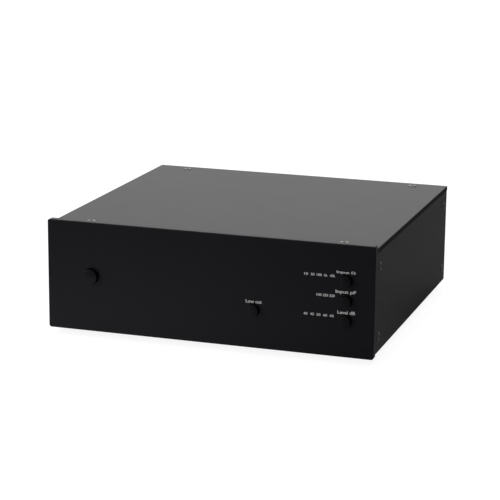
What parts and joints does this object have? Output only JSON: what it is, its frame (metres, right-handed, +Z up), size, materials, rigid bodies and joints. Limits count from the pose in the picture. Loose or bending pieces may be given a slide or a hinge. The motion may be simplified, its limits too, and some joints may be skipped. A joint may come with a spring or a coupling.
{
  "type": "phono preamplifier",
  "caption": "Flat black metal phono preamplifier with a thick front plate, round push buttons, screwed case plates and balanced, RCA and earth connections on the back.",
  "frame": {"origin": "middle of the whole outline, on the table under the feet", "axes": "+X to the right as seen from the front, +Y from the front panel to the sockets, +Z up"},
  "size_m": [0.206, 0.2028, 0.072],
  "materials": {
    "black_anodised": "fine satin",
    "black_button": "satin",
    "black_rubber": "matte",
    "stainless_steel": "bright",
    "black_steel": "black zinc",
    "plain_aluminium": "sawn and bent",
    "nickel_brass": "nickel plate",
    "gold_plate": "gold plate",
    "black_plastic": "moulded",
    "grey_plastic": "moulded",
    "white_plastic": "moulded",
    "red_plastic": "moulded",
    "black_sleeve": "shrunk sleeve",
    "circuit_board": "solder resist",
    "smoked_acrylic": "polished",
    "white_lamp": "moulded",
    "grey_ribbon": "flat cable"
  },
  "bodies": {
    "case": {"front_panel": "black_anodised", "top_cover": "black_anodised", "side_panel_left": "black_anodised", "side_panel_right": "black_anodised", "base_plate": "black_anodised", "rear_panel": "black_anodised", "feet": "black_rubber", "cover_screws": "black_steel", "side_screws": "black_steel", "base_screws": "black_steel", "rear_panel_screws": "black_steel", "front_panel_screws": "black_steel", "foot_screws": "black_steel", "xlr_screws": "black_steel", "control_board_screws": "stainless_steel", "board_screws": "stainless_steel", "corner_brackets": "plain_aluminium", "control_board_standoffs": "nickel_brass", "board_standoffs": "nickel_brass", "ground_nut": "nickel_brass", "power_button_guide": "black_plastic", "small_button_guides": "black_plastic", "switch_housings": "black_plastic", "rca_housings": "black_plastic", "xlr_input_sockets": "black_plastic", "xlr_input_inserts": "black_plastic", "xlr_output_sockets": "black_plastic", "trigger_jacks": "black_plastic", "dc_inlet": "black_plastic", "ribbon_connectors": "black_plastic", "chips": "black_plastic", "control_board": "circuit_board", "main_board": "circuit_board", "light_pipes": "smoked_acrylic", "indicator_lamps": "white_lamp", "ribbon_cable": "grey_ribbon", "rca_barrels": "gold_plate", "rca_contacts": "gold_plate", "xlr_input_contacts": "gold_plate", "xlr_output_pins": "gold_plate", "dc_inlet_pin": "nickel_brass", "rca_insulators_left": "white_plastic", "rca_insulators_right": "red_plastic", "ground_stud": "gold_plate", "relays": "white_plastic", "electrolytic_capacitors": "black_sleeve", "film_capacitors": "red_plastic"},
    "power_cap": {"power_button": "black_button", "power_plunger": "grey_plastic"},
    "low_cut_cap": {"low_cut_button": "black_button", "low_cut_plunger": "grey_plastic"},
    "impedance_cap": {"impedance_button": "black_button", "impedance_plunger": "grey_plastic"},
    "capacitance_cap": {"capacitance_button": "black_button", "capacitance_plunger": "grey_plastic"},
    "gain_cap": {"gain_button": "black_button", "gain_plunger": "grey_plastic"},
    "earth_washer": {"ground_washer": "gold_plate"},
    "earth_knob": {"ground_knob": "gold_plate"}
  },
  "joints": [
    {"name": "power_press", "type": "slide", "parent": "case", "child": "power_cap", "axis": [0, 1, 0], "range_m": [0, 0.0006], "stiffness_N_per_m": 2500, "springref_m": -0.0002},
    {"name": "low_cut_press", "type": "slide", "parent": "case", "child": "low_cut_cap", "axis": [0, 1, 0], "range_m": [0, 0.0006], "stiffness_N_per_m": 2500, "springref_m": -0.0002},
    {"name": "impedance_press", "type": "slide", "parent": "case", "child": "impedance_cap", "axis": [0, 1, 0], "range_m": [0, 0.0006], "stiffness_N_per_m": 2500, "springref_m": -0.0002},
    {"name": "capacitance_press", "type": "slide", "parent": "case", "child": "capacitance_cap", "axis": [0, 1, 0], "range_m": [0, 0.0006], "stiffness_N_per_m": 2500, "springref_m": -0.0002},
    {"name": "gain_press", "type": "slide", "parent": "case", "child": "gain_cap", "axis": [0, 1, 0], "range_m": [0, 0.0006], "stiffness_N_per_m": 2500, "springref_m": -0.0002},
    {"name": "earth_washer_slide", "type": "slide", "parent": "case", "child": "earth_washer", "axis": [0, 1, 0], "range_m": [0, 0.0021]},
    {"name": "earth_knob_turn", "type": "hinge", "parent": "earth_washer", "child": "earth_knob", "pos_m": [0.092, 0.0948, 0.03675], "axis": [0, 1, 0], "range_deg": [0, 1081]}
  ],
  "couplings": [
    {"joint": "earth_knob_turn", "follows": "earth_washer_slide", "rad_per_m": 8976}
  ]
}
